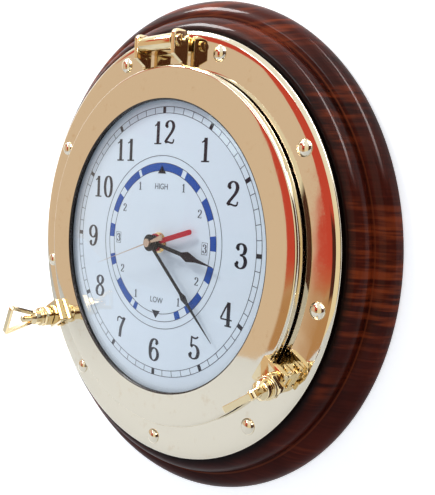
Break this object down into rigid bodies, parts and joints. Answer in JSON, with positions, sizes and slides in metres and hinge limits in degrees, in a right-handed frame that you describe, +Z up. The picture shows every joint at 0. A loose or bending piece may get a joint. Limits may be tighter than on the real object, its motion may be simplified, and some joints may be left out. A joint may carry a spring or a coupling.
{
  "type": "tide clock",
  "caption": "Wall tide clock: hinged brass porthole with clamping dogs on a turned wooden base, domed glass, time and tide hands.",
  "frame": {"origin": "middle of the wooden base's back face, on the clock's axis", "axes": "+Z up, the dial faces -Y, +X to the right of someone who faces the dial"},
  "size_m": [0.3556, 0.0829, 0.3556],
  "materials": {
    "polished_brass": "mirror polished",
    "black_lacquer": "satin lacquer",
    "rosewood": "gloss lacquer",
    "fibreboard": "raw",
    "clear_glass": "clear",
    "black_rubber": "matt",
    "printed_dial": "satin print",
    "plated_steel": "bright plated",
    "black_hands": "satin",
    "red_hand": "satin",
    "black_plastic": "moulded",
    "white_plastic": "moulded",
    "green_board": "solder mask",
    "battery_jacket": "printed sleeve"
  },
  "bodies": {
    "base": {"wooden_base": "rosewood", "hanger_plate": "plated_steel", "hanger_screws": "plated_steel", "porthole_flange": "polished_brass", "flange_pins": "polished_brass", "hinge_knuckle": "polished_brass", "dial_board": "fibreboard", "dial_board_screws": "plated_steel", "dial_plate": "printed_dial", "movement_washer": "black_rubber", "dial_washer": "polished_brass", "dial_nut": "plated_steel", "movement_case": "black_plastic", "movement_cover": "black_plastic", "stepper_motor": "black_plastic", "circuit_board": "green_board", "battery": "battery_jacket", "positive_contact": "plated_steel", "negative_contact": "plated_steel", "left_dog_clevis": "polished_brass", "right_dog_clevis": "polished_brass", "left_pivot_screw": "polished_brass", "right_pivot_screw": "polished_brass"},
    "door": {"door_ring": "polished_brass", "door_glass": "clear_glass", "glass_gasket": "black_rubber", "glass_retainer": "black_lacquer", "retainer_screws": "polished_brass", "hinge_ears": "polished_brass", "hinge_pin": "polished_brass", "left_door_fork": "polished_brass", "right_door_fork": "polished_brass"},
    "left_dog": {"left_swing_bolt": "polished_brass"},
    "right_dog": {"right_swing_bolt": "polished_brass"},
    "left_nut": {"left_loop_nut": "polished_brass"},
    "right_nut": {"right_loop_nut": "polished_brass"},
    "minute": {"minute_wheel": "white_plastic", "minute_hand": "black_hands"},
    "hour": {"hour_wheel": "white_plastic", "hour_hand": "black_hands"},
    "tide": {"tide_wheel": "white_plastic", "tide_hand": "red_hand"},
    "second": {"second_wheel": "white_plastic", "second_hand": "polished_brass"},
    "third": {"third_wheel": "white_plastic"},
    "motion": {"motion_wheel": "white_plastic"},
    "idler": {"tide_idler": "white_plastic"},
    "time_knob": {"time_set_knob": "black_plastic"},
    "tide_knob": {"tide_set_knob": "black_plastic"}
  },
  "joints": [
    {"name": "door_hinge", "type": "hinge", "parent": "base", "child": "door", "pos_m": [0, -0.0398, 0.1427], "axis": [-1, 0, 0], "range_deg": [0, 110]},
    {"name": "left_dog_swing", "type": "hinge", "parent": "base", "child": "left_dog", "pos_m": [-0.12038, -0.034, -0.0695], "axis": [0.5, 0, -0.866], "range_deg": [0, 74]},
    {"name": "left_nut_spin", "type": "hinge", "parent": "left_dog", "child": "left_nut", "pos_m": [-0.12038, -0.034, -0.0695], "axis": [0, -1, 0], "continuous": true},
    {"name": "right_dog_swing", "type": "hinge", "parent": "base", "child": "right_dog", "pos_m": [0.12038, -0.034, -0.0695], "axis": [0.5, 0, 0.866], "range_deg": [-9, 65]},
    {"name": "right_nut_spin", "type": "hinge", "parent": "right_dog", "child": "right_nut", "pos_m": [0.12038, -0.034, -0.0695], "axis": [0.1355, -0.9877, -0.0782], "continuous": true},
    {"name": "minute_turn", "type": "hinge", "parent": "base", "child": "minute", "pos_m": [0, 0, 0.003], "axis": [0, 1, 0], "continuous": true},
    {"name": "hour_turn", "type": "hinge", "parent": "base", "child": "hour", "pos_m": [0, 0, 0.003], "axis": [0, 1, 0], "continuous": true},
    {"name": "tide_turn", "type": "hinge", "parent": "base", "child": "tide", "pos_m": [0, 0, 0.003], "axis": [0, 1, 0], "continuous": true},
    {"name": "second_turn", "type": "hinge", "parent": "base", "child": "second", "pos_m": [0, 0, 0.003], "axis": [0, 1, 0], "continuous": true},
    {"name": "third_turn", "type": "hinge", "parent": "base", "child": "third", "pos_m": [0, 0, -0.0099], "axis": [0, 1, 0], "continuous": true},
    {"name": "motion_turn", "type": "hinge", "parent": "base", "child": "motion", "pos_m": [0.01134, 0, 0.00955], "axis": [0, 1, 0], "continuous": true},
    {"name": "idler_turn", "type": "hinge", "parent": "base", "child": "idler", "pos_m": [-0.01152, 0, 0.00965], "axis": [0, 1, 0], "continuous": true},
    {"name": "time_knob_turn", "type": "hinge", "parent": "base", "child": "time_knob", "pos_m": [0.02269, 0, 0.0161], "axis": [0, 1, 0], "continuous": true},
    {"name": "tide_knob_turn", "type": "hinge", "parent": "base", "child": "tide_knob", "pos_m": [-0.0202, 0, 0.01466], "axis": [0, 1, 0], "continuous": true}
  ],
  "couplings": [
    {"joint": "hour_turn", "follows": "minute_turn", "ratio": 0.083333},
    {"joint": "tide_turn", "follows": "minute_turn", "ratio": 0.080485},
    {"joint": "second_turn", "follows": "minute_turn", "ratio": 60},
    {"joint": "third_turn", "follows": "minute_turn", "ratio": -8},
    {"joint": "motion_turn", "follows": "minute_turn", "ratio": -0.33333},
    {"joint": "idler_turn", "follows": "minute_turn", "ratio": -0.081897},
    {"joint": "time_knob_turn", "follows": "minute_turn", "ratio": 1},
    {"joint": "tide_knob_turn", "follows": "minute_turn", "ratio": 0.16777}
  ]
}
